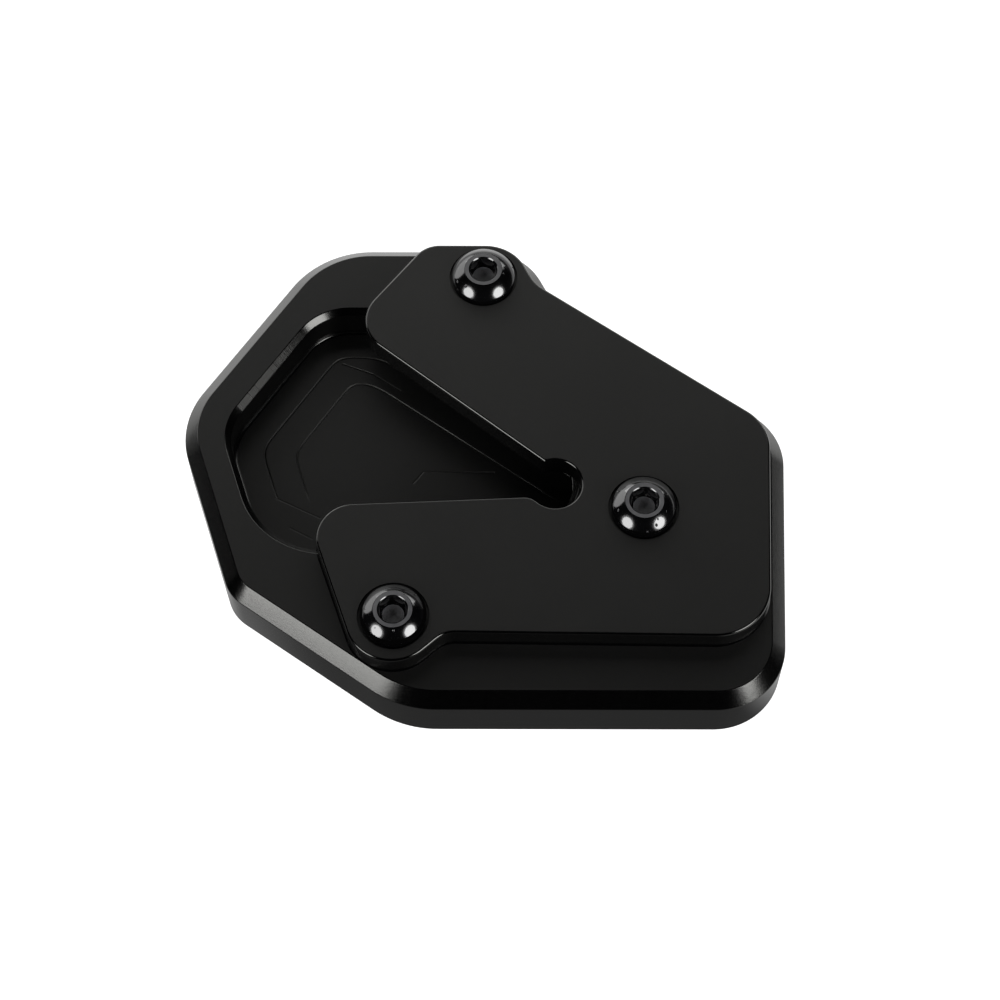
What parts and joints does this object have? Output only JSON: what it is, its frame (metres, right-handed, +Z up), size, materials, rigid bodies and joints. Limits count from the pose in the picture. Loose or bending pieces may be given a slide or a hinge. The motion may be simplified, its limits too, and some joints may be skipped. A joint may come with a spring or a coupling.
{
  "type": "kickstand foot enlarger",
  "caption": "Wide sole for a motorcycle side stand: a bevelled base plate with a foot-shaped pocket, and a forked clamp plate screwed over it to trap the stand's foot.",
  "frame": {"origin": "on the ground, under the middle of the whole object's box", "axes": "+Z up, +X along the length from the mouth of the notch to the heel screw's end, +Y towards the edge with the boss of the upper arm"},
  "size_m": [0.0992, 0.0851, 0.0175],
  "materials": {
    "anodised_base": "black anodised, satin on the faces and brighter on the milled bevels",
    "anodised_clamp": "black anodised, satin, with edges that are rounded and catch the light",
    "black_screw": "blackened steel, glossy"
  },
  "bodies": {
    "root": {"base_plate": "anodised_base", "clamp_plate": "anodised_clamp", "screw_upper_arm": "black_screw", "screw_heel": "black_screw", "screw_lower_arm": "black_screw"}
  },
  "joints": []
}
